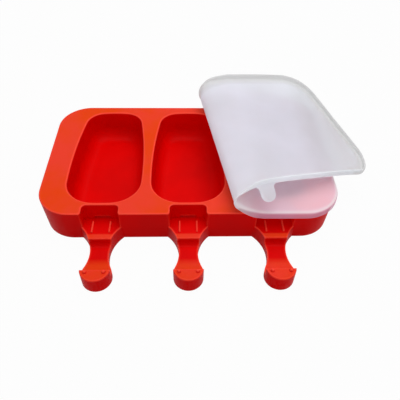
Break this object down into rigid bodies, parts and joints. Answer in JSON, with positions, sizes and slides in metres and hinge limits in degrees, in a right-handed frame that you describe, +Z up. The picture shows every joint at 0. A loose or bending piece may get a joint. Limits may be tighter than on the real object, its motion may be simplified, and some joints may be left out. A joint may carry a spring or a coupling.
{
  "type": "ice pop mold",
  "caption": "Silicone ice pop mould with oval cavities, a stick holder in front of each, and a flexible lid folded back over one side.",
  "frame": {"origin": "on the floor, under the middle of the tray's rounded rectangle, at the middle cup's flat foot", "axes": "+X to the right along the row of cavities, +Y to the back, away from the stick holders, +Z up"},
  "size_m": [0.2312, 0.1874, 0.0503],
  "materials": {
    "tray_silicone": "satin",
    "lid_silicone": "satin, translucent"
  },
  "bodies": {
    "root": {"mould_tray": "tray_silicone", "lid": "lid_silicone"}
  },
  "joints": []
}
